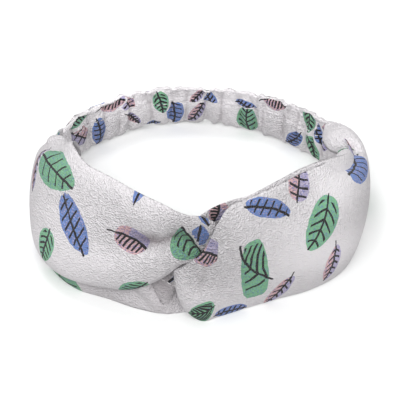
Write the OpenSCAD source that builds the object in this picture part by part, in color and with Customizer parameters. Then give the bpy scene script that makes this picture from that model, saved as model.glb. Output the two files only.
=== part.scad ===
// Knotted headband: two folded fabric loops hooked through each other at the front,
// joined at both sides to a narrower gathered casing with an elastic band inside.
// Origin: centre of the ring on the surface it stands on. +X right, +Y back, +Z up,
// with the knot at -Y. Millimetres.

/* [Ring] */
// Width of the whole ring, side to side
ring_w = 150; // [140:1:165]
// Depth of the whole ring, knot to back
ring_d = 155; // [142:1:168]
// Height of the wide front panels
front_h = 58; // [50:1:66]
// Height of the narrow gathered back
back_h = 28; // [24:1:32]

/* [Fabric loops] */
// Thickness of a loop's strip, which is a flat tube of two layers of cloth
strip_t = 1.8; // [1.4:0.1:2.2]

/* [Casing and elastic] */
// Thickness of the gathered casing over its folds
casing_t = 5.4; // [4.8:0.1:6]
// Thickness of the casing's wall, the gathers included
casing_wall = 1.1; // [0.8:0.1:1.4]
// Width of the elastic band
elastic_w = 20; // [16:1:22]
// Thickness of the elastic band
elastic_t = 1.2; // [0.8:0.1:1.6]
// Gap between the casing's ends and the loops' ends
join_gap = 0.5; // [0.3:0.1:1]

/* [Sewing] */
// Radius of the sewing thread
thread_r = 0.35; // [0.25:0.05:0.45]
// Stitches in the row through each join
join_stitches = 6; // [4:1:8]
// Stitches in each tack at the elastic's ends
tack_stitches = 5; // [3:1:7]

/* [Hidden] */

// The stations below are drawn for a ring of this size with its middle here, and are
// moved and scaled to the ring above
drawn = [150, 155, 58];
drawn_middle = [-0.5, -1.2, 0];
scaling = [ring_w / drawn[0], ring_d / drawn[1], front_h / drawn[2]];

// Rings along a loop, points across a strip and rings along the casing
loop_rings = 96;
strip_points = 9;
casing_rings = 44;
thread_sides = 6;

// Each station is one line across a strip, from its bottom edge to its top edge.
// The right loop: outer leg from the right join to the knot, low turn, inner leg back
right_stations = [
    [[66.5, 31, 1], [67, 31, 10], [66, 30.5, 19], [64, 29.5, 28]],
    [[70.5, 14, 0], [72.5, 14, 12], [72, 14, 23], [68.5, 13, 33]],
    [[71.5, -5, 0], [73.5, -5, 14], [73, -5, 27], [69, -5, 39]],
    [[69, -26, 0], [71.5, -27, 16], [70.5, -26.5, 32], [64, -23, 48]],
    [[61, -44, 0], [64, -46, 18], [62.5, -44.5, 37], [55, -36.5, 54]],
    [[47, -55.5, 0], [50, -59, 19], [48.5, -57, 39], [43.5, -48, 57]],
    [[33, -61.5, 0], [34.5, -66, 19], [33.5, -65, 39], [30.5, -59.5, 57.5]],
    [[19.5, -67.5, 0], [20, -71.5, 19], [20, -71.5, 40], [19, -68, 57.5]],
    [[8, -73, 0], [8.5, -76, 18], [9, -76, 37], [10, -73.5, 56]],
    [[0.5, -75.8, 0], [0, -77.5, 13], [0, -77.5, 25], [1, -76, 37.5]],
    [[-4.5, -75.2, 3.5], [-6, -76.8, 12], [-7, -76.8, 20], [-6.5, -75.5, 29.5]],
    [[-6, -73.5, 5], [-8, -74, 12], [-9.5, -74, 19], [-9.6, -73.8, 26.5]],
    [[-5, -71.3, 8], [-6, -70.8, 15], [-6.2, -70.3, 23], [-5, -70, 31]],
    [[-0.5, -69, 31.5], [0, -68.6, 37], [0, -68.2, 43], [0, -68, 49]],
    [[5, -66.8, 30], [5.5, -66.5, 37], [5.5, -66.5, 45], [4.5, -67, 52]],
    [[12, -65, 22], [12.5, -65.5, 34], [12, -66, 45], [11, -67, 55.5]],
    [[20, -64, 10], [20, -66, 25], [20, -66.5, 41], [19, -64.5, 56.5]],
    [[32, -58.5, 3], [33, -62, 21], [32, -61, 39], [29.5, -56.5, 57]],
    [[45, -52.5, 2], [47.5, -55.5, 20], [46, -53.5, 38], [42, -45, 56.5]],
    [[58, -42.5, 2], [61, -44, 18], [59.5, -42.5, 36], [52.5, -34.5, 53.5]],
    [[66, -25.5, 2], [68.5, -26, 16], [67.5, -25.5, 31], [61, -22, 47]],
    [[68.5, -5, 2], [70.5, -5, 14], [70, -5, 26], [66, -5, 38]],
    [[67.5, 13, 2], [69.5, 13, 12], [69, 13, 22], [65.5, 12, 32]],
    [[63.5, 29.5, 1], [64, 29.5, 10], [63.2, 29, 19], [61.3, 28, 28]]
];

// The left loop: outer leg from the left join to the knot, high turn, inner leg back
left_stations = [
    [[-69.5, 28, 1], [-70, 28, 10], [-69, 27.5, 19], [-67, 26.5, 28]],
    [[-71.5, 12, 1], [-73.5, 12, 12], [-73, 12, 24], [-69, 11.5, 35]],
    [[-72.5, -4, 3], [-74.5, -5, 15], [-73.5, -5, 29], [-66, -3, 43]],
    [[-72.5, -20, 7], [-74, -22, 19], [-70.5, -20, 37], [-59, -13.5, 51.5]],
    [[-68, -42, 8], [-69.5, -42.5, 20], [-65, -37.5, 39], [-53, -28.5, 55.5]],
    [[-57, -56, 8], [-59, -57, 20], [-54, -53, 40], [-46, -43.5, 57]],
    [[-42, -64, 9], [-43, -66, 22], [-39, -62, 42], [-36, -52.5, 57]],
    [[-27, -68.5, 12], [-27.5, -71, 23], [-26, -68, 41], [-24.5, -61.5, 56]],
    [[-16, -71.5, 21], [-15.5, -73.5, 28], [-15, -72, 42], [-14, -67.5, 54.5]],
    [[-8, -73.2, 29.5], [-7, -74.2, 34], [-6.5, -73.5, 43], [-5.5, -71, 52.5]],
    [[1, -73.4, 28], [1.5, -73.4, 35], [2, -73, 43], [1.5, -71.2, 51]],
    [[6.5, -71.8, 26], [8.2, -71.8, 33], [8.6, -71.5, 40], [7, -70.6, 46.5]],
    [[4, -70.3, 16], [4.6, -70.2, 23], [4.6, -69.8, 30], [3.5, -69.6, 37]],
    [[0, -69, 6], [0, -68.6, 12], [-0.3, -68, 19], [-0.5, -67.5, 25.5]],
    [[-6, -70, 0], [-6.5, -67, 8], [-6.5, -65.7, 15], [-6.5, -65.3, 22]],
    [[-15, -71, 0], [-15.5, -68.3, 11], [-15.5, -67, 23], [-15, -65.5, 35]],
    [[-26, -68, 0], [-26.2, -65.6, 15], [-25.5, -65, 30], [-24, -61.5, 45]],
    [[-39, -61.5, 0], [-40, -61, 16], [-38, -58.5, 33], [-34.5, -51.5, 49]],
    [[-53.5, -54.5, 0], [-55, -53.5, 16], [-52, -50, 33], [-46, -42.5, 50]],
    [[-64.5, -40.5, 0], [-66.5, -40, 15], [-62.5, -36.5, 32], [-54, -29.5, 48]],
    [[-69, -20.5, 0], [-70.5, -20, 13], [-67.5, -18.5, 28], [-59.5, -15, 44]],
    [[-69.5, -4, 0], [-71.5, -4, 11], [-70, -4, 24], [-64.5, -4, 38]],
    [[-68.5, 12, 0], [-70.5, 12, 11], [-69.5, 12, 22], [-65.5, 11.5, 32]],
    [[-66.2, 27, 1], [-66.7, 27, 10], [-65.8, 26.5, 19], [-64, 25.5, 28]]
];

// The casing's middle surface: the ring angle from the back (positive to the right),
// then its bottom and its top edge, each as radius and height, about its own centre
casing_centre = [0, 3];
casing_plan = [
    [-68.5, 71.8, 69.3],
    [-55, 72.6, 69.5],
    [-35, 73, 67],
    [0, 72.2, 61.5],
    [35, 68.5, 63],
    [52, 69, 65.5],
    [66.5, 70.6, 67.8]
];

function place(p, by) =
    let (q = p - drawn_middle) [q.x * by.x, q.y * by.y, q.z * by.z];
function middle(line) = (line[0] + line[1] + line[2] + line[3]) / 4;
function unit(v) = v / norm(v);

// Cubic through the four points of a line across a strip, v from 0 to 1
function across(line, v) =
    line[0] * (1 - 3 * v) * (2 - 3 * v) * (1 - v) / 2
    + line[1] * 9 * v * (2 - 3 * v) * (1 - v) / 2
    - line[2] * 9 * v * (1 - 3 * v) * (1 - v) / 2
    + line[3] * v * (1 - 3 * v) * (2 - 3 * v) / 2;

// Lengths along the stations' middles, from the first one
function lengths(lines, i = 0, sum = 0) =
    i == len(lines) ? []
    : let (s = i == 0 ? 0 : sum + norm(middle(lines[i]) - middle(lines[i - 1])))
      concat([s], lengths(lines, i + 1, s));

// Slope of the smooth curve through the stations at station i, for point k of the line
function slope(lines, at, i, k) =
    let (last = len(lines) - 1)
    i == 0 ? (lines[1][k] - lines[0][k]) / (at[1] - at[0])
    : i == last ? (lines[last][k] - lines[last - 1][k]) / (at[last] - at[last - 1])
    : let (before = at[i] - at[i - 1], after = at[i + 1] - at[i])
      ((lines[i][k] - lines[i - 1][k]) / before * after
       + (lines[i + 1][k] - lines[i][k]) / after * before) / (before + after);

// Which stretch between two stations a length s falls in
function stretch(at, s, i = 0) = i >= len(at) - 2 || s < at[i + 1] ? i : stretch(at, s, i + 1);

// The line across the strip at length s
function line_at(lines, at, s) =
    let (i = stretch(at, s), h = at[i + 1] - at[i], t = (s - at[i]) / h)
    [for (k = [0:3])
        (2 * t * t * t - 3 * t * t + 1) * lines[i][k]
        + (t * t * t - 2 * t * t + t) * h * slope(lines, at, i, k)
        + (3 * t * t - 2 * t * t * t) * lines[i + 1][k]
        + (t * t * t - t * t) * h * slope(lines, at, i + 1, k)];

// Outward normal of the middle surface, from the lines just before and after
function facing(before, line, after, v) =
    unit(cross(across(after, v) - across(before, v),
               across(line, min(1, v + 0.04)) - across(line, max(0, v - 0.04))));

// Half the thickness across a strip with round edges
function half_thick(t, q) = t / 2 * sqrt(max(0, 1 - pow(abs(2 * q - 1), 6)));

// Even shares of a strip's width, closer together towards its edges
function share(j, n) = (1 - cos(180 * j / (n - 1))) / 2;

// Closed polyhedron through equal rings of points: capped at both ends, or with the last
// ring joined to the first
module skin(rings, capped = true) {
    n = len(rings[0]);
    count = len(rings);
    sides = [for (r = [0:count - (capped ? 2 : 1)], j = [0:n - 1])
        let (next = (r + 1) % count * n, a = r * n + j, b = r * n + (j + 1) % n,
             c = next + j, d = next + (j + 1) % n)
        each [[a, b, c], [b, d, c]]];
    caps = [[for (j = [n - 1:-1:0]) j], [for (j = [0:n - 1]) (count - 1) * n + j]];
    polyhedron(points = [for (r = rings) each r],
               faces = capped ? concat(sides, caps) : sides, convexity = 12);
}

// Rings of points round a flat strip of thickness t along the stations, from length s0
// to s1, between the shares v0 and v1 of its width. Nothing reaches below the ground
function strip_rings(lines, t, rings, s0, s1, v0 = 0, v1 = 1) =
    let (at = lengths(lines), n = strip_points, step = 0.2, end = at[len(at) - 1],
         around = [for (j = [0:n - 1]) [j, 1], for (j = [n - 2:-1:1]) [j, -1]])
    [for (r = [0:rings])
        let (s = s0 + (s1 - s0) * r / rings,
             line = line_at(lines, at, s),
             before = line_at(lines, at, max(0, s - step)),
             after = line_at(lines, at, min(end, s + step)))
        [for (a = around)
            let (q = share(a[0], n),
                 v = v0 + (v1 - v0) * q,
                 p = across(line, v)
                     + facing(before, line, after, v) * half_thick(t, q) * a[1])
            [p.x, p.y, max(0, p.z)]]];

// A thread of radius r through a list of points
module thread(points, r) {
    last = len(points) - 1;
    skin([for (i = [0:last])
        let (along = unit(points[min(last, i + 1)] - points[max(0, i - 1)]),
             side = unit(cross(along, [0.01, 0.02, 1])),
             up = cross(side, along))
        [for (k = [0:thread_sides - 1])
            let (turn = 360 * k / thread_sides)
            points[i] + r * (cos(turn) * side + sin(turn) * up)]]);
}

right_lines = [for (line = right_stations) [for (p = line) place(p, scaling)]];
left_lines = [for (line = left_stations) [for (p = line) place(p, scaling)]];
casing_lines = [for (c = casing_plan)
    [for (k = [0:3])
        let (r = c[1] + (c[2] - c[1]) * k / 3)
        place([casing_centre.x + r * sin(c[0]), casing_centre.y + r * cos(c[0]),
               back_h * k / 3], [scaling.x, scaling.y, 1])]];

right_length = lengths(right_lines)[len(right_lines) - 1];
left_length = lengths(left_lines)[len(left_lines) - 1];
casing_length = lengths(casing_lines)[len(casing_lines) - 1];

// Both ends of the casing stay clear of the loops; its bore is open at both ends
casing_from = join_gap;
casing_to = casing_length - join_gap;
casing_bore_t = casing_t - 2 * casing_wall;
bore_edge = casing_wall * 1.5 / back_h;
elastic_edge = (back_h - elastic_w) / 2 / back_h;
elastic_inset = 1;

// Height of the casing's closing seam, as a share of its width
seam_share = 0.66;
// Distance of the stitch rows from the strips' ends
stitch_inset = 3;
tack_inset = 4;

cloth = "#e1dade";
sewing = "#f2eff0";

module right_loop() {
    color(cloth) skin(strip_rings(right_lines, strip_t, loop_rings, 0, right_length));
}

module left_loop() {
    color(cloth) skin(strip_rings(left_lines, strip_t, loop_rings, 0, left_length));
}

module back_casing() {
    outside = strip_rings(casing_lines, casing_t, casing_rings, casing_from, casing_to);
    bore = strip_rings(casing_lines, casing_bore_t, casing_rings, casing_from, casing_to,
                       bore_edge, 1 - bore_edge);
    color(cloth) skin(concat(outside, [for (r = [casing_rings:-1:0]) bore[r]]), capped = false);
}

module elastic_band() {
    color("white") skin(strip_rings(casing_lines, elastic_t, casing_rings,
                                    casing_from + elastic_inset, casing_to - elastic_inset,
                                    elastic_edge, 1 - elastic_edge));
}

// A seam's thread along a strip, at share v of its width, lying on the side given by out
module seam(lines, out, v, s0, s1, rings) {
    at = lengths(lines);
    step = 0.2;
    color(sewing) thread([for (r = [0:rings])
        let (s = s0 + (s1 - s0) * r / rings,
             line = line_at(lines, at, s))
        across(line, v)
        + facing(line_at(lines, at, s - step), line, line_at(lines, at, s + step), v) * out],
        thread_r);
}

module right_loop_seam() {
    seam(right_lines, strip_t / 2, 0.5, 2, right_length - 2, loop_rings);
}

module left_loop_seam() {
    seam(left_lines, -strip_t / 2, 0.5, 2, left_length - 2, loop_rings);
}

module casing_seam() {
    seam(casing_lines, casing_t / 2, seam_share, 2, casing_length - 2, casing_rings);
}

// A row of stitches through a strip's end at length s, each from depth d0 to depth d1
// along the strip's outward normal
module stitch_row(lines, s, d0, d1, count, v0, v1) {
    at = lengths(lines);
    line = line_at(lines, at, s);
    before = line_at(lines, at, s - 0.2);
    after = line_at(lines, at, s + 0.2);
    color(sewing) for (k = [0:count - 1]) {
        v = v0 + (v1 - v0) * k / (count - 1);
        out = facing(before, line, after, v);
        p = across(line, v) + out * d0;
        translate(p) rotate([0, acos(out.z), atan2(out.y, out.x)])
            cylinder(r = thread_r, h = d1 - d0, $fn = 16);
    }
}

module right_join_stitching() {
    stitch_row(right_lines, stitch_inset, -1.4, 5, join_stitches, 0.12, 0.88);
}

module left_join_stitching() {
    stitch_row(left_lines, stitch_inset, -5, 1.4, join_stitches, 0.12, 0.88);
}

module right_elastic_tack() {
    stitch_row(casing_lines, casing_to - tack_inset, -casing_t / 2 - 0.5,
               casing_t / 2 + 0.5, tack_stitches, 0.25, 0.75);
}

module left_elastic_tack() {
    stitch_row(casing_lines, casing_from + tack_inset, -casing_t / 2 - 0.5,
               casing_t / 2 + 0.5, tack_stitches, 0.25, 0.75);
}

left_loop();
right_loop();
back_casing();
elastic_band();
left_loop_seam();
right_loop_seam();
casing_seam();
left_join_stitching();
right_join_stitching();
left_elastic_tack();
right_elastic_tack();
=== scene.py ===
"""The looks of the knotted headband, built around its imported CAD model.

Lengths are in millimetres until a mesh is made.
"""

import math

import bpy
import numpy as np
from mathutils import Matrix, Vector


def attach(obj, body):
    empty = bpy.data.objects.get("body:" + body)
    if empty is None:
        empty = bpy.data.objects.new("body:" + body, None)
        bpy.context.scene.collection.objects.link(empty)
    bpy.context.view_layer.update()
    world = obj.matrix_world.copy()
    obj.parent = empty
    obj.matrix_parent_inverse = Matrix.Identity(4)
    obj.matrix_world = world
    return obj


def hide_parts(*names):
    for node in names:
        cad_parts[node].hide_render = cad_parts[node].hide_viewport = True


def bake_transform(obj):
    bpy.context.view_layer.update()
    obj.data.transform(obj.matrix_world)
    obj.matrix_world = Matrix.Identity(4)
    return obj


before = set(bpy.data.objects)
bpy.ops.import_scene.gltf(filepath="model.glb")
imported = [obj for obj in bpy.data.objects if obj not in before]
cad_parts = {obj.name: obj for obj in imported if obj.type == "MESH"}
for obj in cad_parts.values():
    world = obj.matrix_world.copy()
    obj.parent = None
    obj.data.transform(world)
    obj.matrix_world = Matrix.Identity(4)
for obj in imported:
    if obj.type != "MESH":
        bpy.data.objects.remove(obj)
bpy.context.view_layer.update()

MM = 0.001
SEED = 7
# The stations are drawn about this point, which is the CAD model's origin
DRAWN_MIDDLE = np.array([-0.5, -1.2, 0.0])


def add_object(name, data):
    """A new object in the scene."""
    added = bpy.data.objects.new(name, data)
    bpy.context.scene.collection.objects.link(added)
    return added


# ---------------------------------------------------------------- camera

VIEW_TILT = math.radians(36.36)
STAND_TILT = math.radians(35)
STAND_OFF = 650
LOOKED_AT = np.array([0, 0, 26.0]) - DRAWN_MIDDLE
LENS = 130.5


def make_camera():
    """A long lens in front of the knot, looking down at the ring from above the front."""
    back = np.array([0, -math.cos(STAND_TILT), math.sin(STAND_TILT)])
    ahead = Vector((0, math.cos(VIEW_TILT), -math.sin(VIEW_TILT)))
    data = bpy.data.cameras.new("camera")
    data.lens = LENS
    data.clip_start, data.clip_end = 0.05, 10
    camera = add_object("camera", data)
    camera.location = Vector((LOOKED_AT + back * STAND_OFF) * MM)
    camera.rotation_mode = "QUATERNION"
    camera.rotation_quaternion = ahead.to_track_quat("-Z", "Y")
    bpy.context.scene.camera = camera


make_camera()

# ---------------------------------------------------------------- stations

# Each station is one line across a strip, from its bottom edge to its top edge.
# The right loop: outer leg from the right join to the knot, low turn, inner leg back
RIGHT_STATIONS = [
    [[66.5, 31, 1], [67, 31, 10], [66, 30.5, 19], [64, 29.5, 28]],
    [[70.5, 14, 0], [72.5, 14, 12], [72, 14, 23], [68.5, 13, 33]],
    [[71.5, -5, 0], [73.5, -5, 14], [73, -5, 27], [69, -5, 39]],
    [[69, -26, 0], [71.5, -27, 16], [70.5, -26.5, 32], [64, -23, 48]],
    [[61, -44, 0], [64, -46, 18], [62.5, -44.5, 37], [55, -36.5, 54]],
    [[47, -55.5, 0], [50, -59, 19], [48.5, -57, 39], [43.5, -48, 57]],
    [[33, -61.5, 0], [34.5, -66, 19], [33.5, -65, 39], [30.5, -59.5, 57.5]],
    [[19.5, -67.5, 0], [20, -71.5, 19], [20, -71.5, 40], [19, -68, 57.5]],
    [[8, -73, 0], [8.5, -76, 18], [9, -76, 37], [10, -73.5, 56]],
    [[0.5, -75.8, 0], [0, -77.5, 13], [0, -77.5, 25], [1, -76, 37.5]],
    [[-4.5, -75.2, 3.5], [-6, -76.8, 12], [-7, -76.8, 20], [-6.5, -75.5, 29.5]],
    [[-6, -73.5, 5], [-8, -74, 12], [-9.5, -74, 19], [-9.6, -73.8, 26.5]],
    [[-5, -71.3, 8], [-6, -70.8, 15], [-6.2, -70.3, 23], [-5, -70, 31]],
    [[-0.5, -69, 31.5], [0, -68.6, 37], [0, -68.2, 43], [0, -68, 49]],
    [[5, -66.8, 30], [5.5, -66.5, 37], [5.5, -66.5, 45], [4.5, -67, 52]],
    [[12, -65, 22], [12.5, -65.5, 34], [12, -66, 45], [11, -67, 55.5]],
    [[20, -64, 10], [20, -66, 25], [20, -66.5, 41], [19, -64.5, 56.5]],
    [[32, -58.5, 3], [33, -62, 21], [32, -61, 39], [29.5, -56.5, 57]],
    [[45, -52.5, 2], [47.5, -55.5, 20], [46, -53.5, 38], [42, -45, 56.5]],
    [[58, -42.5, 2], [61, -44, 18], [59.5, -42.5, 36], [52.5, -34.5, 53.5]],
    [[66, -25.5, 2], [68.5, -26, 16], [67.5, -25.5, 31], [61, -22, 47]],
    [[68.5, -5, 2], [70.5, -5, 14], [70, -5, 26], [66, -5, 38]],
    [[67.5, 13, 2], [69.5, 13, 12], [69, 13, 22], [65.5, 12, 32]],
    [[63.5, 29.5, 1], [64, 29.5, 10], [63.2, 29, 19], [61.3, 28, 28]],
]

# The left loop: outer leg from the left join to the knot, high turn, inner leg back
LEFT_STATIONS = [
    [[-69.5, 28, 1], [-70, 28, 10], [-69, 27.5, 19], [-67, 26.5, 28]],
    [[-71.5, 12, 1], [-73.5, 12, 12], [-73, 12, 24], [-69, 11.5, 35]],
    [[-72.5, -4, 3], [-74.5, -5, 15], [-73.5, -5, 29], [-66, -3, 43]],
    [[-72.5, -20, 7], [-74, -22, 19], [-70.5, -20, 37], [-59, -13.5, 51.5]],
    [[-68, -42, 8], [-69.5, -42.5, 20], [-65, -37.5, 39], [-53, -28.5, 55.5]],
    [[-57, -56, 8], [-59, -57, 20], [-54, -53, 40], [-46, -43.5, 57]],
    [[-42, -64, 9], [-43, -66, 22], [-39, -62, 42], [-36, -52.5, 57]],
    [[-27, -68.5, 12], [-27.5, -71, 23], [-26, -68, 41], [-24.5, -61.5, 56]],
    [[-16, -71.5, 21], [-15.5, -73.5, 28], [-15, -72, 42], [-14, -67.5, 54.5]],
    [[-8, -73.2, 29.5], [-7, -74.2, 34], [-6.5, -73.5, 43], [-5.5, -71, 52.5]],
    [[1, -73.4, 28], [1.5, -73.4, 35], [2, -73, 43], [1.5, -71.2, 51]],
    [[6.5, -71.8, 26], [8.2, -71.8, 33], [8.6, -71.5, 40], [7, -70.6, 46.5]],
    [[4, -70.3, 16], [4.6, -70.2, 23], [4.6, -69.8, 30], [3.5, -69.6, 37]],
    [[0, -69, 6], [0, -68.6, 12], [-0.3, -68, 19], [-0.5, -67.5, 25.5]],
    [[-6, -70, 0], [-6.5, -67, 8], [-6.5, -65.7, 15], [-6.5, -65.3, 22]],
    [[-15, -71, 0], [-15.5, -68.3, 11], [-15.5, -67, 23], [-15, -65.5, 35]],
    [[-26, -68, 0], [-26.2, -65.6, 15], [-25.5, -65, 30], [-24, -61.5, 45]],
    [[-39, -61.5, 0], [-40, -61, 16], [-38, -58.5, 33], [-34.5, -51.5, 49]],
    [[-53.5, -54.5, 0], [-55, -53.5, 16], [-52, -50, 33], [-46, -42.5, 50]],
    [[-64.5, -40.5, 0], [-66.5, -40, 15], [-62.5, -36.5, 32], [-54, -29.5, 48]],
    [[-69, -20.5, 0], [-70.5, -20, 13], [-67.5, -18.5, 28], [-59.5, -15, 44]],
    [[-69.5, -4, 0], [-71.5, -4, 11], [-70, -4, 24], [-64.5, -4, 38]],
    [[-68.5, 12, 0], [-70.5, 12, 11], [-69.5, 12, 22], [-65.5, 11.5, 32]],
    [[-66.2, 27, 1], [-66.7, 27, 10], [-65.8, 26.5, 19], [-64, 25.5, 28]],
]

# The casing: ring angle from the back in degrees, then the radius of its bottom and its
# top edge about its own centre
CASING_CENTRE = np.array([0, 3.0])
CASING_PLAN = [
    [-68.5, 71.8, 69.3], [-55, 72.6, 69.5], [-35, 73, 67], [0, 72.2, 61.5],
    [35, 68.5, 63], [52, 69, 65.5], [66.5, 70.6, 67.8],
]

# ---------------------------------------------------------------- curves and surfaces


def slopes(values, at):
    """Slopes of a smooth curve through values at the places at."""
    step = np.diff(at)
    shape = (-1,) + (1,) * (values.ndim - 1)
    chord = np.diff(values, axis=0) / step.reshape(shape)
    inner = (chord[:-1] * step[1:].reshape(shape) + chord[1:] * step[:-1].reshape(shape))
    inner = inner / (step[:-1] + step[1:]).reshape(shape)
    return np.concatenate([chord[:1], inner, chord[-1:]])


def smooth_curve(values, at, where):
    """The smooth curve through values, read at the places where."""
    values, at = np.asarray(values, float), np.asarray(at, float)
    m = slopes(values, at)
    i = np.clip(np.searchsorted(at, where, side="right") - 1, 0, len(at) - 2)
    h = at[i + 1] - at[i]
    t = (where - at[i]) / h
    shape = (-1,) + (1,) * (values.ndim - 1)
    t, h = t.reshape(shape), h.reshape(shape)
    return (
        (2 * t**3 - 3 * t**2 + 1) * values[i]
        + (t**3 - 2 * t**2 + t) * h * m[i]
        + (3 * t**2 - 2 * t**3) * values[i + 1]
        + (t**3 - t**2) * h * m[i + 1]
    )


def smoothstep(low, high, x):
    t = np.clip((x - low) / (high - low), 0, 1)
    return t * t * (3 - 2 * t)


def unit(v):
    return v / np.maximum(np.linalg.norm(v, axis=-1, keepdims=True), 1e-9)


def noise(x, y, seed):
    """Smooth seeded noise from -1 to 1 over a plane, with cells one unit wide."""
    cells = np.random.default_rng(seed).uniform(-1, 1, (64, 64))
    i, j = np.floor(x).astype(int), np.floor(y).astype(int)
    a, b = x - i, y - j
    a, b = a * a * (3 - 2 * a), b * b * (3 - 2 * b)
    c00, c10 = cells[i % 64, j % 64], cells[(i + 1) % 64, j % 64]
    c01, c11 = cells[i % 64, (j + 1) % 64], cells[(i + 1) % 64, (j + 1) % 64]
    return (c00 * (1 - a) + c10 * a) * (1 - b) + (c01 * (1 - a) + c11 * a) * b


class Strip:
    """The middle surface of a strip of cloth: a grid of points along it and across it."""

    def __init__(self, stations, step, across_count):
        stations = np.array(stations, float) - DRAWN_MIDDLE
        middles = stations.mean(1)
        at = np.r_[0, np.cumsum(np.linalg.norm(np.diff(middles, axis=0), axis=1))]
        self.length = at[-1]
        self.s = np.linspace(0, self.length, int(self.length / step) + 1)
        self.u = np.interp(self.s, at, np.arange(len(at)))
        self.v = (1 - np.cos(np.linspace(0, math.pi, across_count))) / 2
        self.v = 0.35 * self.v + 0.65 * np.linspace(0, 1, across_count)
        lines = smooth_curve(stations, at, self.s)
        w = [
            (1 - 3 * self.v) * (2 - 3 * self.v) * (1 - self.v) / 2,
            9 * self.v * (2 - 3 * self.v) * (1 - self.v) / 2,
            -9 * self.v * (1 - 3 * self.v) * (1 - self.v) / 2,
            self.v * (1 - 3 * self.v) * (2 - 3 * self.v) / 2,
        ]
        self.points = np.einsum("kv,skx->svx", np.array(w), lines)
        self.width = np.linalg.norm(np.diff(self.points, axis=1), axis=2).sum(1)
        self.lip = np.zeros(len(self.s))
        # How dark each point is painted, from 0 to 1: painted shadow that a loop's shape sets
        self.painted_shadow = np.zeros(self.points.shape[:2])

    def normals(self):
        along = np.gradient(self.points, axis=0)
        across = np.gradient(self.points, axis=1)
        return unit(np.cross(along, across))

    def flat(self, u, v):
        """Millimetres along and across the strip for station number u and share v."""
        s = np.interp(u, self.u, self.s)
        return s, v * np.interp(s, self.s, self.width)

    def fold(self, path, depth, left, right=None, sharp=2.0):
        """Moves the surface along its normal beside a path of (station, share of the width)
        points. depth is the move at each of them. left and right are how far the fold
        reaches on the two sides, in millimetres, seen along the path with across as up."""
        right = left if right is None else right
        x = np.broadcast_to(self.s[:, None], self.points.shape[:2])
        y = self.v[None, :] * self.width[:, None]
        flat = [self.flat(*p) for p in path]
        gap = np.full(x.shape, 1e6)
        move = np.zeros(x.shape)
        for k in range(len(path) - 1):
            (ax, ay), (bx, by) = flat[k], flat[k + 1]
            dx, dy = bx - ax, by - ay
            t = np.clip(((x - ax) * dx + (y - ay) * dy) / (dx * dx + dy * dy), 0, 1)
            off = np.hypot(x - ax - t * dx, y - ay - t * dy)
            off = off / np.where(dx * (y - ay) - dy * (x - ax) > 0, left, right)
            near = off < gap
            gap = np.where(near, off, gap)
            move = np.where(near, depth[k] + (depth[k + 1] - depth[k]) * t, move)
        rise = move * np.exp(-(gap**sharp))
        self.points = self.points + self.normals() * rise[..., None]

    def push(self, centre, reach, move):
        """Moves the surface round centre, (station, share), by move in millimetres, fading
        out over reach stations and reach shares of the width."""
        du = (self.u[:, None] - centre[0]) / reach[0]
        dv = (self.v[None, :] - centre[1]) / reach[1]
        near = np.exp(-(du**2) - dv**2)
        self.points = self.points + near[..., None] * np.array(move)

    def curl(self, stations, start, turn, grow, inward):
        """Rolls the top of the strip over from the share start of its width. stations are
        where the roll begins, is full, stops being full and ends; turn is in degrees."""
        u0, u1, u2, u3 = stations
        full = smoothstep(u0, u1, self.u) * (1 - smoothstep(u2, u3, self.u))
        k = int(np.searchsorted(self.v, start))
        t = np.clip((self.v - self.v[k]) / (1 - self.v[k]), 0, 1)
        pivot = self.points[:, k : k + 1]
        up = unit(self.points[:, k + 1 : k + 2] - self.points[:, k - 1 : k])
        over = self.normals()[:, k : k + 1] * inward
        reach = np.linalg.norm(self.points - pivot, axis=2) * (1 + grow * full[:, None] * t)
        angle = math.radians(turn) * full[:, None] * t[None, :]
        rolled = pivot + reach[..., None] * (
            up * np.cos(angle)[..., None] + over * np.sin(angle)[..., None])
        share = (full[:, None] * (t > 0))[..., None]
        self.points = self.points * (1 - share) + rolled * share

    def measure(self):
        """Keeps how far each point is across the cloth, along its folds."""
        steps = np.linalg.norm(np.diff(self.points, axis=1), axis=2)
        self.y = np.concatenate([np.zeros((len(self.s), 1)), np.cumsum(steps, axis=1)], axis=1)

    def place(self, u, v):
        """The point at a station number and a share of the width, which may run past the edge."""
        i = np.interp(np.interp(u, self.u, self.s), self.s, np.arange(len(self.s)))
        j = np.interp(v, self.v, np.arange(len(self.v)))
        i0, j0 = min(int(i), len(self.s) - 2), min(int(j), len(self.v) - 2)
        p, q = i - i0, j - j0
        corners = self.points[i0 : i0 + 2, j0 : j0 + 2]
        near = corners[0, 0] * (1 - q) + corners[0, 1] * q
        far = corners[1, 0] * (1 - q) + corners[1, 1] * q
        point = near * (1 - p) + far * p
        over = v - min(max(v, 0), 1)
        outer, inner = (-1, -3) if over > 0 else (2, 0)
        rim = self.points[i0, outer] - self.points[i0, inner]
        return point + unit(rim) * over * self.width[i0]

    def normal_at(self, u, v):
        """The side that the strip's positive normal shows at a station number and share."""
        du, dv = 0.05, 0.04
        v = min(max(v, dv), 1 - dv)
        along = self.place(min(u + du, self.u[-1]), v) - self.place(max(u - du, 0), v)
        across = self.place(u, v + dv) - self.place(u, v - dv)
        return unit(np.cross(along, across))

    def shell(self, thickness, roundness=5.0):
        """Rings of points round the strip, the side that its normals point to first."""
        n = self.normals()
        close = np.maximum(0, 1 - np.abs(2 * self.v - 1) ** roundness) ** 0.5
        inset = (1 - self.v)[None, :] * self.width[:, None]
        lip = self.lip[:, None] * np.exp(-(((inset - 1.3) / 1.3) ** 2))
        half = ((thickness / 2 + lip) * close[None, :])[..., None]
        front = self.points + n * half
        back = (self.points - n * half)[:, -2:0:-1]
        rings = np.concatenate([front, back], axis=1)
        rings[..., 2] = np.maximum(rings[..., 2], 0)
        return rings


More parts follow.
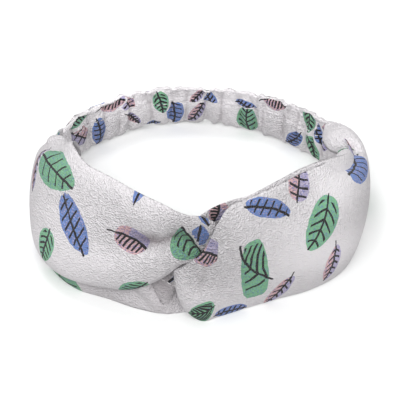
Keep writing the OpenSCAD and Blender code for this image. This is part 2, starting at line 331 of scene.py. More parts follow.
class Unrolled:
    """A strip's cloth laid out on the plane that touches it at one place."""

    def __init__(self, strip, u, v):
        self.strip, self.u = strip, u
        i = int(np.clip(np.searchsorted(strip.u, u), 2, len(strip.u) - 3))
        j = int(np.clip(np.searchsorted(strip.v, v), 2, len(strip.v) - 3))
        steps = np.linalg.norm(np.diff(strip.points[:, j], axis=0), axis=1)
        self.x = np.r_[0, np.cumsum(steps)]
        self.along = unit(strip.points[i + 2, j] - strip.points[i - 2, j])
        self.across = unit(strip.points[i, j + 2] - strip.points[i, j - 2])
        self.normal = unit(np.cross(self.along, self.across))
        rise = strip.y[i + 2, j] - strip.y[i - 2, j]
        self.drift = rise / (self.x[i + 2] - self.x[i - 2])

    def lay(self, x, y):
        """The place on the plane of x along the cloth and y across it, in millimetres."""
        x, y = np.asarray(x)[..., None], np.asarray(y)[..., None]
        return x * self.along + (y - x * self.drift) * self.across

    def spot(self, u, v):
        """The place on the plane of a station number and a share of the width."""
        strip = self.strip
        i = int(np.clip(np.searchsorted(strip.u, u), 0, len(strip.u) - 1))
        over = v - min(max(v, 0), 1)
        y = np.interp(v, strip.v, strip.y[i]) + over * strip.width[i]
        return self.lay(np.interp(u, strip.u, self.x), y)

    def shell(self):
        """The places on the plane of the points of the strip's shell."""
        y = self.strip.y
        y = np.concatenate([y, y[:, -2:0:-1]], axis=1)
        return self.lay(np.broadcast_to(self.x[:, None], y.shape), y)

    def near(self, reach):
        """The points of the shell that are within reach along the cloth."""
        return (np.abs(self.x - np.interp(self.u, self.strip.u, self.x)) < reach)[:, None]


# ---------------------------------------------------------------- meshes


def smooth_mesh(name, points, faces):
    """A smooth-shaded mesh from points in millimetres."""
    mesh = bpy.data.meshes.new(name)
    mesh.from_pydata((points * MM).tolist(), [], faces)
    mesh.polygons.foreach_set("use_smooth", [True] * len(mesh.polygons))
    return mesh


def put_vectors(mesh, name, rows, domain="POINT"):
    """Writes an attribute with a vector for each point or face."""
    attribute = mesh.attributes.new(name, "FLOAT_VECTOR", domain)
    attribute.data.foreach_set("vector", rows.astype(np.float32).ravel())


def skin(name, rings):
    """A mesh through equal rings of points, capped at both ends."""
    count, n = rings.shape[:2]
    r = np.arange(count - 1)[:, None]
    j = np.arange(n)[None, :]
    after = r + 1
    quads = np.stack(
        [r * n + j, r * n + (j + 1) % n, after * n + (j + 1) % n, after * n + j], axis=-1
    ).reshape(-1, 4)
    faces = [tuple(q) for q in quads.tolist()]
    faces += cap_faces(0, n, True) + cap_faces((count - 1) * n, n, False)
    mesh = smooth_mesh(name, rings.reshape(-1, 3), faces)
    mesh.update()
    return add_object(name, mesh)


def cap_faces(first, n, near):
    """Quads across a flat ring, from its one edge to its other."""
    faces = []
    for j in range(n // 2):
        a, b = first + j, first + j + 1
        c, d = first + (n - j - 1) % n, first + (n - j) % n
        quad = [a, b, c, d] if not near else [d, c, b, a]
        kept = [p for i, p in enumerate(quad) if p not in quad[:i]]
        if len(kept) > 2:
            faces.append(tuple(kept))
    return faces


def sunken(rings, reach, depth):
    """How far each point of a ring lies below the cloth round it, as a share of depth."""
    smooth = rings
    shifts = range(-reach, reach + 1)
    smooth = sum(np.roll(smooth, k, axis=1) for k in shifts) / len(shifts)
    order = np.arange(len(rings))
    smooth = sum(smooth[np.clip(order + k, 0, order[-1])] for k in shifts) / len(shifts)
    along = np.gradient(rings, axis=0)
    around = np.roll(rings, -1, axis=1) - np.roll(rings, 1, axis=1)
    outward = unit(np.cross(along, around))
    return np.clip(((smooth - rings) * outward).sum(-1) / depth, 0, 1)


def points_of(piece):
    co = np.zeros(len(piece.data.vertices) * 3)
    piece.data.vertices.foreach_get("co", co)
    return co.reshape(-1, 3) / MM


# ---------------------------------------------------------------- printed leaves

NO_LEAF = 1000.0
LEAF_VALUES = ("leaf_size", "leaf_ends", "leaf_rib", "leaf_veins", "leaf_reach", "leaf_hooks")
LEAF_COLOURS = ("leaf_left", "leaf_right", "leaf_dots")

GREEN = (0.19, 0.50, 0.27)
TEAL_DOT = (0.12, 0.26, 0.42)
BLUE = (0.12, 0.23, 0.58)
LILAC_DOT = (0.46, 0.38, 0.58)
PINK = (0.74, 0.47, 0.50)
LILAC = (0.52, 0.46, 0.66)
BLUE_DOT = (0.18, 0.20, 0.52)

# Each kind of leaf. Everything is a share of half its length: how wide it is left and right
# of its axis, the rib's course as a parabola, where the stem begins, the spacing of the
# veins, then their slopes left and right, how much of the width they reach and how they hook.
# left and right are as seen looking from the stem to the tip, and the left colour begins at
# split.
KINDS = {
    "feather": dict(
        wide=(0.62, 0.62), ends=(0.42, 0.6), rib=(0.0, 0.0, 0.08), stem=-1.08,
        veins=(0.37, 0.55, 0.55), reach=(0.80, 0.78), hooks=(0.6, 0.6),
        colours=(GREEN, GREEN, TEAL_DOT)),
    "sail": dict(
        wide=(0.08, 1.02), ends=(0.40, 0.24), rib=(0.0, 0.0, 0.0), stem=-1.0,
        veins=(0.42, 0.0, -0.75), reach=(0.0, 0.72), hooks=(0.0, 1.5),
        colours=(GREEN, GREEN, TEAL_DOT)),
    "block": dict(
        wide=(0.37, 0.39), ends=(0.2, 0.26), rib=(0.0, -0.77, 0.42), stem=-0.52,
        veins=(0.25, -0.5, 1.5), reach=(0.76, 0.90), hooks=(0.3, 0.0),
        colours=(GREEN, GREEN, TEAL_DOT)),
    "lattice": dict(
        wide=(0.46, 0.44), ends=(0.55, 0.62), rib=(0.0, 0.05, 0.1), stem=-1.12,
        veins=(0.29, -0.55, 0.55), reach=(0.82, 0.82), hooks=(0.0, 0.0),
        colours=(BLUE, BLUE, LILAC_DOT)),
    "ticks": dict(
        wide=(0.46, 0.46), ends=(0.62, 0.62), rib=(0.0, 0.0, 0.12), stem=-1.05,
        veins=(0.33, 0.3, -0.3), reach=(0.8, 0.8), hooks=(0.0, 0.0),
        colours=(BLUE, BLUE, LILAC_DOT)),
    "plain": dict(
        wide=(0.62, 0.62), ends=(0.6, 0.6), rib=(0.0, 0.0, 0.05), stem=-1.05,
        veins=(9.0, 0.0, 0.0), reach=(0.0, 0.0), hooks=(0.0, 0.0),
        colours=(BLUE, BLUE, LILAC_DOT)),
    "blade": dict(
        wide=(0.34, 0.34), ends=(0.5, 0.6), rib=(0.0, 0.0, 0.05), stem=-1.05,
        veins=(0.6, 0.6, 0.6), reach=(0.9, 0.9), hooks=(0.0, 0.0),
        colours=(GREEN, GREEN, TEAL_DOT)),
    "comb": dict(
        wide=(0.86, 0.66), ends=(0.42, 0.5), rib=(-0.18, 0.0, 0.26), stem=-1.4, split=-0.30,
        veins=(0.26, 0.0, -0.2), reach=(0.0, 0.78), hooks=(0.0, 0.0),
        colours=(LILAC, PINK, BLUE_DOT)),
    "fishbone": dict(
        wide=(0.36, 0.4), ends=(0.6, 0.6), rib=(0.0, 0.0, 0.08), stem=-1.25,
        veins=(0.32, 0.7, 0.7), reach=(0.75, 0.75), hooks=(0.2, 0.2),
        colours=(LILAC, PINK, BLUE_DOT)),
    "grid": dict(
        wide=(0.62, 0.62), ends=(0.4, 0.45), rib=(0.0, 0.1, 0.0), stem=-1.1,
        veins=(0.46, 0.35, -0.1), reach=(0.9, 0.9), hooks=(0.0, 0.0),
        colours=(PINK, LILAC, BLUE_DOT)),
}


MARGIN = 1.2
KNOT = (-4.0, -75.0, 34.0)


def leaf_region(form, a, b, half, scale):
    """True close to where a leaf's body, its rib and its stem are drawn."""
    x = a / half
    p, q = form["ends"]
    outline = np.maximum(1 + x, 0) ** p * np.maximum(1 - x, 0) ** q
    share = np.where(b > 0, form["wide"][1], form["wide"][0])
    reach = share * half * scale * 1.15 * outline + MARGIN
    body = (np.abs(b) < reach) & (np.abs(a) < half + MARGIN)
    rib = half * (form["rib"][0] + form["rib"][1] * x + form["rib"][2] * x * x)
    stem = (np.abs(b - rib) < MARGIN) & (x > form["stem"]) & (x < 1.1)
    return body | stem


class Print:
    """The leaves on one piece of cloth: where each face lies on its leaf, and the leaf's form."""

    def __init__(self, points):
        self.points = points
        self.rings, self.around = points.shape[:2]
        faces = (self.rings - 1) * self.around
        self.place = np.full((faces, 4, 2), NO_LEAF)
        self.values = {name: np.zeros((faces, 3)) for name in LEAF_VALUES + LEAF_COLOURS}
        self.taken = np.zeros(faces, bool)

    def corners(self, values):
        """Values of the grid's points at the four corners of each face."""
        after = np.roll(values, -1, axis=1)
        grid = np.stack([values[:-1], after[:-1], after[1:], values[1:]], axis=2)
        return grid.reshape((-1, 4) + values.shape[2:])

    def stamp(self, kind, a, b, half_length, allowed, scale=1.0):
        """Draws a leaf where a and b are each point's places along and across it."""
        form = KINDS[kind]
        place = self.corners(np.stack([a, b], axis=-1))
        middle = place.mean(1)
        inside = leaf_region(form, middle[:, 0], middle[:, 1], half_length, scale)
        inside &= self.corners(allowed).all(1) & ~self.taken
        self.place[inside] = place[inside]
        self.taken |= inside
        p, q = form["ends"]
        peak = (1 + (p - q) / (p + q)) ** p * (1 - (p - q) / (p + q)) ** q
        wide = np.array(form["wide"]) * half_length * scale / peak
        rows = {
            "leaf_size": (half_length, *wide),
            "leaf_ends": (p, q, form.get("split", -2.0)),
            "leaf_rib": np.array(form["rib"]) * half_length,
            "leaf_veins": (form["veins"][0] * half_length, *form["veins"][1:]),
            "leaf_reach": (*form["reach"], form["stem"]),
            "leaf_hooks": (*form["hooks"], 0),
        }
        for name, colour in zip(LEAF_COLOURS, form["colours"]):
            rows[name] = colour
        for name, row in rows.items():
            self.values[name][inside] = row

    def write(self, piece, rest, shade):
        """Puts the print on the piece's mesh. rest is where each point of the cloth is, flat,
        and shade is the painted shade on each point, from 0 to 1: darker where it lies deep in a
        fold."""
        mesh = piece.data
        caps = len(mesh.polygons) - len(self.taken)
        uv = mesh.uv_layers.new(name="print")
        place = np.concatenate([self.place.reshape(-1, 2), self.cap_corners(mesh, caps)])
        uv.data.foreach_set("uv", place.astype(np.float32).ravel())
        for name, rows in self.values.items():
            put_vectors(mesh, name, np.concatenate([rows, np.zeros((caps, 3))]), "FACE")
        put_vectors(mesh, "rest", rest)
        for name, values in (("shade", shade), ("grain", crepe_grain(self.points))):
            attribute = mesh.attributes.new(name, "FLOAT", "POINT")
            attribute.data.foreach_set("value", values.astype(np.float32).ravel())

    @staticmethod
    def cap_corners(mesh, caps):
        """Places off every leaf for the corners of the faces that close the ends."""
        if not caps:
            return np.zeros((0, 2))
        count = sum(len(f.vertices) for f in mesh.polygons[len(mesh.polygons) - caps:])
        return np.full((count, 2), NO_LEAF)


def crepe_grain(points):
    """How strong the crepe's grain is: uneven, and strongest where the knot crushes it."""
    x, y, z = points[..., 0], points[..., 1], points[..., 2]
    gap = ((x - KNOT[0]) / 34) ** 2 + ((y - KNOT[1]) / 20) ** 2 + ((z - KNOT[2]) / 26) ** 2
    return 0.9 + 0.5 * noise(x / 19, z / 15 + y / 40, SEED) + 1.0 * np.exp(-gap)


def side_mask(strip, rings, front):
    """The points of a shell on one of its two sides."""
    columns = np.arange(rings.shape[1])
    n = len(strip.v)
    on_front = columns < n
    on_back = (columns >= n - 1) | (columns == 0)
    return np.broadcast_to(on_front if front else on_back, rings.shape[:2])


def stamp_laid(cloth, laid, front, kind, centre, axis, half, scale=1.0):
    """A leaf on a loop that is laid out on a plane, where axis runs from its stem to its tip."""
    toward = laid.normal if front else -laid.normal
    gap = laid.shell() - centre
    allowed = side_mask(laid.strip, cloth.points, front) & laid.near(half * 1.7 + 4)
    cloth.stamp(kind, gap @ axis, gap @ np.cross(axis, toward), half, allowed, scale)


def stamp_between(cloth, strip, front, kind, stem, tip, scale=1.0):
    """A leaf on a loop with its stem end and its tip at (station, share of the width)."""
    laid = Unrolled(strip, (stem[0] + tip[0]) / 2, (stem[1] + tip[1]) / 2)
    start, end = laid.spot(*stem), laid.spot(*tip)
    half = np.linalg.norm(end - start) / 2
    stamp_laid(cloth, laid, front, kind, (start + end) / 2, unit(end - start), half, scale)


def stamp_at(cloth, strip, front, kind, u, v, turn, half):
    """A leaf on a loop round one place, turned from straight up."""
    laid = Unrolled(strip, u, v)
    axis = laid.across * math.cos(turn) + np.cross(laid.across, laid.normal) * math.sin(turn)
    stamp_laid(cloth, laid, front, kind, laid.spot(u, v), axis, half)


# ---------------------------------------------------------------- shader helpers


class Sum:
    """A number in a node tree, so that a formula can be written as one."""

    def __init__(self, tree, socket):
        self.tree, self.socket = tree, socket

    def op(self, kind, *others):
        node = self.tree.nodes.new("ShaderNodeMath")
        node.operation = kind
        for i, value in enumerate((self,) + others):
            if isinstance(value, Sum):
                self.tree.links.new(value.socket, node.inputs[i])
            else:
                node.inputs[i].default_value = value
        return Sum(self.tree, node.outputs[0])

    def __add__(self, other):
        return self.op("ADD", other)

    def __sub__(self, other):
        return self.op("SUBTRACT", other)

    def __mul__(self, other):
        return self.op("MULTIPLY", other)

    def __truediv__(self, other):
        return self.op("DIVIDE", other)

    def __pow__(self, other):
        return self.op("POWER", other)

    def __abs__(self):
        return self.op("ABSOLUTE")

    def above(self, other):
        return self.op("GREATER_THAN", other)

    def below(self, other):
        return self.op("LESS_THAN", other)

    def most(self, other):
        return self.op("MAXIMUM", other)

    def choose(self, when_one, when_zero):
        """when_one where this is 1 and when_zero where it is 0."""
        return self * (when_one - when_zero) + when_zero


def attribute_node(tree, name):
    node = tree.nodes.new("ShaderNodeAttribute")
    node.attribute_type = "GEOMETRY"
    node.attribute_name = name
    return node


def parts(tree, socket):
    node = tree.nodes.new("ShaderNodeSeparateXYZ")
    tree.links.new(socket, node.inputs[0])
    return [Sum(tree, out) for out in node.outputs]


def noise_node(tree, coords, scale, detail=2.0, distortion=0.0):
    node = tree.nodes.new("ShaderNodeTexNoise")
    node.inputs["Scale"].default_value = scale
    node.inputs["Detail"].default_value = detail
    node.inputs["Distortion"].default_value = distortion
    tree.links.new(coords, node.inputs["Vector"])
    return node


def blob_node(tree, coords, scale):
    node = tree.nodes.new("ShaderNodeTexVoronoi")
    node.inputs["Scale"].default_value = scale
    tree.links.new(coords, node.inputs["Vector"])
    return node


def stretched(tree, coords, scale):
    """The coordinates scaled along each axis."""
    node = tree.nodes.new("ShaderNodeVectorMath")
    node.operation = "MULTIPLY"
    node.inputs[1].default_value = scale
    tree.links.new(coords, node.inputs[0])
    return node.outputs[0]


def mixed(tree, share, low, high):
    """low where share is 0 and high where it is 1. Each is a colour or a socket."""
    node = tree.nodes.new("ShaderNodeMix")
    node.data_type = "RGBA"
    tree.links.new(share.socket, node.inputs[0])
    for index, value in ((6, low), (7, high)):
        if hasattr(value, "links"):
            tree.links.new(value, node.inputs[index])
        else:
            node.inputs[index].default_value = (*value, 1)
    return node.outputs[2]


def darkened(tree, share, colour, by):
    """A colour multiplied by another where share is 1, and as it was where share is 0."""
    node = tree.nodes.new("ShaderNodeMix")
    node.data_type = "RGBA"
    node.blend_type = "MULTIPLY"
    tree.links.new(share.socket, node.inputs[0])
    tree.links.new(colour, node.inputs[6])
    node.inputs[7].default_value = (*by, 1)
    return node.outputs[2]


def new_material(name, roughness, sheen=0.0):
    material = bpy.data.materials.new(name)
    material.use_nodes = True
    tree = material.node_tree
    shader = tree.nodes["Principled BSDF"]
    shader.inputs["Roughness"].default_value = roughness
    shader.inputs["Specular IOR Level"].default_value = 0.25
    shader.inputs["Sheen Weight"].default_value = sheen
    shader.inputs["Sheen Roughness"].default_value = 0.6
    return material, tree, shader


def bump(tree, shader, height, strength, distance):
    node = tree.nodes.new("ShaderNodeBump")
    node.inputs["Strength"].default_value = strength
    node.inputs["Distance"].default_value = distance
    tree.links.new(height.socket, node.inputs["Height"])
    tree.links.new(node.outputs[0], shader.inputs["Normal"])


# ---------------------------------------------------------------- the crepe and its print

CLOTH = (0.85, 0.82, 0.845)
CLOTH_SHADE = (0.81, 0.78, 0.805)
# The casing's cloth is a lighter copy of the loops' cloth: painted light that brightens the back
# of the ring
CASING_CLOTH_PAINTED_LIGHT = (0.95, 0.915, 0.94)
CASING_SHADE_PAINTED_LIGHT = (0.91, 0.875, 0.90)
INK = (0.010, 0.008, 0.012)
STROKE = 0.5
# Painted shade: the depth of a fold, in millimetres, at which its cloth is painted darkest, and
# the colour that the cloth is multiplied by there
LOOP_FOLD = 2.2
CASING_FOLD = 1.5
PAINTED_SHADE_DARKEST = (0.36, 0.33, 0.34)
WOBBLE = 0.6


def leaf_masks(tree, rest):
    """Where the leaf's body, its right-hand colour and its ink are, from 0 to 1."""
    uv = tree.nodes.new("ShaderNodeUVMap")
    uv.uv_map = "print"
    a, b, _ = parts(tree, uv.outputs[0])
    wobble = parts(tree, noise_node(tree, rest, 0.22, 1.0).outputs["Color"])
    a = a + (wobble[0] - 0.5) * (2 * WOBBLE)
    b = b + (wobble[1] - 0.5) * (2 * WOBBLE)
    size, ends, rib, veins, reach, hooks = [
        parts(tree, attribute_node(tree, name).outputs["Vector"]) for name in LEAF_VALUES
    ]
    half = size[0].most(0.01)
    x = a / half
    inside = abs(x).below(1.0)
    outline = ((x + 1.0).most(0.0) ** ends[0]) * ((x * -1.0 + 1.0).most(0.0) ** ends[1])
    width = b.above(0.0).choose(size[2], size[1]) * outline
    body = abs(b).below(width) * inside
    off_rib = b - rib[0] - x * rib[1] - x * x * rib[2]
    right = off_rib.above(0.0)
    away = abs(off_rib)
    tilt = (rib[1] + x * rib[2] * 2.0) / half
    rib_reach = x.above(reach[2]) * x.below(1.0)
    rib_stroke = x.below(-0.95).choose(STROKE * 0.6, STROKE)
    ink = (away / ((tilt * tilt + 1.0) ** 0.5)).below(rib_stroke) * rib_reach
    slope = right.choose(veins[2], veins[1])
    hook = right.choose(hooks[1], hooks[0])
    spacing = veins[0].most(0.5)
    along = a - away * slope - away * away / half * hook
    gap = abs((along / spacing).op("FRACT") - 0.5) * spacing
    lean = slope + away / half * hook * 2.0
    stroke = gap / ((lean * lean + 1.0) ** 0.5)
    vein_reach = abs(b).below(width.most(0.0) * right.choose(reach[1], reach[0]))
    within = x.above(-0.80) * x.below(0.86)
    ink = ink.most(stroke.below(STROKE * 0.92) * vein_reach * within)
    ink = ink * size[0].above(0.1)
    return body, right.most(x.below(ends[2])), ink


def crepe_height(tree, rest):
    """The pebbled grain of crepe, finer along one thread than the other."""
    coords = stretched(tree, rest, (1.0, 0.8, 1.15))
    pebble = blob_node(tree, noise_mix(tree, coords, 0.9, 0.3), 1.32)
    fine = Sum(tree, noise_node(tree, rest, 2.4, 2.0, 0.6).outputs["Fac"])
    coarse = Sum(tree, noise_node(tree, rest, 0.5, 2.0, 0.3).outputs["Fac"])
    return Sum(tree, pebble.outputs["Distance"]) * -1.25 + fine * 0.4 + coarse * 0.2


def noise_mix(tree, coords, scale, amount):
    """The coordinates pushed about by noise, so that a pattern on them is irregular."""
    push = noise_node(tree, coords, scale, 1.0)
    node = tree.nodes.new("ShaderNodeVectorMath")
    node.operation = "MULTIPLY_ADD"
    node.inputs[1].default_value = (amount, amount, amount)
    tree.links.new(push.outputs["Color"], node.inputs[0])
    tree.links.new(coords, node.inputs[2])
    return node.outputs[0]


def make_crepe(name, cloth, cloth_shade):
    material, tree, shader = new_material(name, 0.82, 0.15)
    rest = attribute_node(tree, "rest").outputs["Vector"]
    body, right, ink = leaf_masks(tree, rest)
    height = crepe_height(tree, rest) * Sum(tree, attribute_node(tree, "grain").outputs["Fac"])
    patchy = Sum(tree, noise_node(tree, rest, 0.05, 2.0).outputs["Fac"])
    plain = mixed(tree, patchy, cloth, cloth_shade)
    left_colour, right_colour, dot_colour = [
        attribute_node(tree, name).outputs["Vector"] for name in LEAF_COLOURS
    ]
    leaf = mixed(tree, right, left_colour, right_colour)
    dots = blob_node(tree, rest, 1.1)
    size = noise_node(tree, rest, 0.5, 1.0)
    dotted = Sum(tree, dots.outputs["Distance"]).below(
        Sum(tree, size.outputs["Fac"]) * 0.5 + 0.10)
    leaf = mixed(tree, dotted * 0.75, leaf, dot_colour)
    colour = mixed(tree, body * 0.94, plain, leaf)
    colour = mixed(tree, ink, colour, INK)
    # Painted shade: the colour is darkened by the shade attribute, in folds and in the painted
    # shadow under the knot
    folds = Sum(tree, attribute_node(tree, "shade").outputs["Fac"])
    colour = darkened(tree, folds, colour, PAINTED_SHADE_DARKEST)
    tree.links.new(colour, shader.inputs["Base Color"])
    bump(tree, shader, height, 1.0, 0.0008)
    return material


def make_thread():
    material, tree, shader = new_material("sewing_thread", 0.6, 0.2)
    rest = attribute_node(tree, "rest").outputs["Vector"]
    ply = noise_node(tree, stretched(tree, rest, (3.0, 3.0, 1.2)), 2.0, 2.0)
    colour = mixed(tree, Sum(tree, ply.outputs["Fac"]), (0.86, 0.84, 0.85), (0.7, 0.67, 0.69))
    tree.links.new(colour, shader.inputs["Base Color"])
    bump(tree, shader, Sum(tree, ply.outputs["Fac"]), 0.5, 0.0001)
    return material


def make_elastic():
    """Woven elastic: fine ribs along the band, crossed by its weft."""
    material, tree, shader = new_material("woven_elastic", 0.75, 0.1)
    rest = attribute_node(tree, "rest").outputs["Vector"]
    _, across, along = parts(tree, rest)
    rib = (across * (2 * math.pi / 1.1)).op("SINE")
    weft = (along * (2 * math.pi / 0.7)).op("SINE")
    height = rib * 0.6 + weft * 0.25
    # Painted shade in the grooves between the ribs and painted highlight on their crests,
    # following the bump
    colour = mixed(tree, height * 0.5 + 0.5, (0.70, 0.68, 0.69), (0.86, 0.85, 0.85))
    tree.links.new(colour, shader.inputs["Base Color"])
    bump(tree, shader, height, 0.6, 0.0002)
    return material


CREPE = make_crepe("printed_crepe", CLOTH, CLOTH_SHADE)
# The casing's crepe: the same print on the lighter copy of the cloth, painted light
CASING_CREPE_PAINTED_LIGHT = make_crepe("gathered_crepe_painted_light", CASING_CLOTH_PAINTED_LIGHT, CASING_SHADE_PAINTED_LIGHT)
THREAD = make_thread()
ELASTIC = make_elastic()


# ---------------------------------------------------------------- the two loops

CLOTH_T = 1.7
GRID_STEP = 1.0
ACROSS = 48


def loop_shell(name, strip):
    rings = strip.shell(CLOTH_T)
    piece = skin(name, rings)
    piece.data.materials.append(CREPE)
    return piece, Print(rings)


def shape_right(strip):
    """Folds of the right loop: the rolled lip at the knot, and the puff at the join.
    Its positive side faces into the ring on the outer leg, and out of it on the inner."""
    gather(strip, 1.0)
    strip.push((0.6, 0.9), (1.1, 0.5), (0.0, 1.5, 5.5))
    strip.push((1.8, 0.75), (1.3, 0.4), (1.6, 0.3, 0.5))
    strip.curl((-0.6, 0.5, 3.0, 4.8), 0.80, 105, 0.7, 1)
    strip.push((0.8, 1.05), (0.9, 0.22), (-7.0, 0.5, 1.5))
    strip.fold([(1.34, 1.02), (1.50, 0.93), (1.63, 0.88)], [4.0, 4.0, 2.5], 1.8, sharp=1.3)
    strip.fold([(1.74, 0.86), (2.07, 0.88)], [3.2, 1.6], 1.5, sharp=1.3)
    strip.push((22.0, 1.0), (1.0, 0.5), (-1.0, 0.0, 2.0))
    strip.fold([(9.6, 0.82), (9.0, 0.62), (8.6, 0.40)], [0.6, 1.7, 0.8], 9.0)
    strip.fold([(8.2, 0.98), (7.4, 0.80), (7.0, 0.55)], [-0.8, -1.2, -0.2], 6)
    strip.fold([(10.3, 0.80), (10.4, 0.15)], [-0.9, -0.6], 2.2)
    strip.fold([(6.4, 0.98), (5.4, 0.90), (4.6, 0.80)], [0.2, 0.9, 0.2], 5)
    strip.lip = 0.75 * smoothstep(7.6, 8.8, strip.u) * (1 - smoothstep(11.5, 12.5, strip.u))


def shape_left(strip):
    """Folds of the left loop: the valley into the knot, pleats under it, the rolled join.
    Its positive side faces out of the ring on the outer leg, and into it on the inner."""
    gather(strip, -1.0)
    strip.push((1.9, 1.0), (1.3, 0.4), (1.2, 0.0, 3.4))
    strip.push((22.0, 1.0), (1.0, 0.5), (1.5, 0.0, 3.0))
    strip.curl((-0.6, 0.6, 2.3, 4.3), 0.80, 118, 0.85, -1)
    strip.push((1.35, 0.97), (1.1, 0.16), (4.2, 0.0, 4.6))
    roll = [(0.4, 0.78), (1.5, 0.80), (2.6, 0.84), (3.3, 0.88), (3.9, 0.93)]
    strip.fold(roll, [-1.0, -2.6, -3.2, -3.0, -1.0], 1.9, sharp=1.3)
    strip.fold([(1.5, 0.88), (1.2, 1.0)], [-3.0, -3.4], 1.9, sharp=1.3)
    strip.fold([(2.6, 0.90), (2.7, 1.02)], [-2.4, -2.8], 1.6, sharp=1.3)
    upper = [(5.6, 0.90), (7.0, 0.84), (8.2, 0.83), (9.2, 0.82), (10.0, 0.80)]
    strip.fold(upper, [0.2, 2.0, 3.2, 2.6, 1.0], 7, 5)
    strip.fold([(6.2, 0.38), (7.6, 0.40), (8.8, 0.34)], [0.6, 2.2, 1.2], 7, 9)
    valley = [(6.5, 0.68), (7.5, 0.60), (8.5, 0.62), (9.3, 0.51), (9.95, 0.33)]
    strip.fold(valley, [0.0, -4.2, -5.6, -4.2, -2.2], 6.0, 2.8, 1.3)
    strip.fold([(14.4, 0.75), (14.6, 0.45), (15.0, 0.15)], [-3.4, -3.4, -1.2], 4.5, 1.8, 1.2)
    strip.fold([(15.7, 0.45), (15.4, 0.28), (15.0, 0.13)], [2.8, 3.4, 1.2], 2.2, 1.8, 1.3)
    strip.fold([(16.0, 0.35), (15.8, 0.24), (15.1, 0.05)], [-2.4, -3.0, -1.0], 1.6, 4.5, 1.3)
    # Painted shadow: the inner leg behind the outer leg is darkened a little, the pleats under the
    # knot more
    behind = smoothstep(13.8, 15.0, strip.u) * (1 - smoothstep(19.0, 20.5, strip.u))
    below = np.exp(-(((strip.u - 14.95) / 0.5) ** 2))
    low = np.exp(-(((strip.v - 0.45) / 0.28) ** 2))
    strip.painted_shadow = 0.26 * behind[:, None] + 0.5 * below[:, None] * low[None, :]


def gather(strip, inward):
    """Small pleats where both ends of a loop are drawn up and sewn to the casing."""
    last = strip.u[-1]
    for share, deep, slant in ((0.86, 1.0, 0.03), (0.62, -1.4, 0.05), (0.40, 1.2, -0.02),
                               (0.22, -1.2, -0.04)):
        strip.fold([(0.0, share), (1.5, share + slant)], [inward * deep, 0.1], 2.2)
        strip.fold([(last, share - 0.08), (last - 1.4, share - 0.08 + slant)],
                   [-inward * deep, 0.1], 2.2)


RIGHT_LEAVES = [
    (False, "comb", (9.75, 1.30), (8.08, 0.67), 1.25),
    (False, "block", (6.79, 0.15), (6.96, 0.66), 1.0),
    (False, "ticks", (7.15, 0.97), (5.75, 0.79), 0.8),
    (False, "grid", (5.45, 0.835), (5.20, 1.06), 1.15),
    (False, "feather", (4.56, 0.79), (5.34, 0.46), 1.0),
    (False, "fishbone", (4.55, 0.42), (4.68, 0.08), 1.1),
    (False, "fishbone", (5.74, 0.27), (6.45, -0.02), 1.0),
    (False, "feather", (8.30, 0.17), (9.85, 0.09), 1.9),
    (False, "ticks", (8.26, 0.07), (7.02, 0.05), 1.0),
    (False, "lattice", (2.00, 0.92), (3.64, 0.82), 0.95),
    (False, "blade", (1.36, 1.00), (1.63, 0.88), 0.7),
    (False, "blade", (1.76, 0.86), (2.05, 0.88), 0.7),
    (True, "comb", (14.55, 1.04), (13.95, 0.66), 1.0),
]

LEFT_LEAVES = [
    (True, "feather", (2.90, 0.80), (4.92, 0.83), 0.68),
    (True, "lattice", (4.70, 0.76), (5.77, 0.415), 1.0),
    (True, "feather", (4.65, 0.48), (4.38, 0.15), 1.0),
    (True, "comb", (6.40, 0.635), (7.43, 0.55), 1.0),
    (True, "sail", (8.86, 0.84), (9.95, 0.22), 0.95),
    (True, "plain", (9.80, 0.86), (9.72, 0.42), 1.1),
    (True, "plain", (9.70, 1.10), (10.25, 0.90), 0.6),
    (True, "plain", (6.93, 0.89), (7.4, 1.30), 0.5),
    (True, "feather", (7.5, 0.16), (6.6, 0.0), 1.0),
    (True, "fishbone", (2.39, 0.83), (3.36, 0.55), 1.0),
    (False, "feather", (18.9, 0.25), (17.8, -0.12), 1.0),
    (False, "ticks", (14.40, 0.78), (14.75, 0.50), 0.45),
]
# Places with no print, in front of the knot and under it: (station, share, positive side)
LEFT_BARE = [
    (15.0, 0.2, False), (15.8, 0.2, False), (16.6, 0.25, False), (17.2, 0.2, False),
    (1.4, 0.9, True), (6.2, 0.2, True), (8.0, 0.3, True), (5.6, 0.95, True), (8.0, 0.9, True),
]
RIGHT_BARE = [
    (8.0, 0.35, False), (5.6, 0.6, False), (3.6, 0.6, False), (2.4, 0.5, False), (9.6, 0.3, False),
    (17.9, 0.97, True), (17.9, 0.97, False), (19.25, 0.92, True), (19.25, 0.92, False),
]


LOOP_TRIES = 700
LOOP_LEAF_GAP = 27.0


def scatter(cloth, strip, seed):
    """Fills what is left of a loop with leaves that keep apart from each other."""
    random = np.random.default_rng(seed)
    names = list(KINDS)
    for _ in range(LOOP_TRIES):
        u, v = random.uniform(0.3, 22.7), random.uniform(0, 1)
        front, kind = bool(random.integers(2)), names[random.integers(len(names))]
        turn, half = random.uniform(0, 2 * math.pi), random.uniform(12.0, 14.5)
        centre = strip.place(u, v)
        if any(f == front and abs(w - u) < 6 and np.linalg.norm(c - centre) < LOOP_LEAF_GAP
               for c, w, f in cloth.centres):
            continue
        cloth.centres.append((centre, u, front))
        stamp_at(cloth, strip, front, kind, u, v, turn, half)


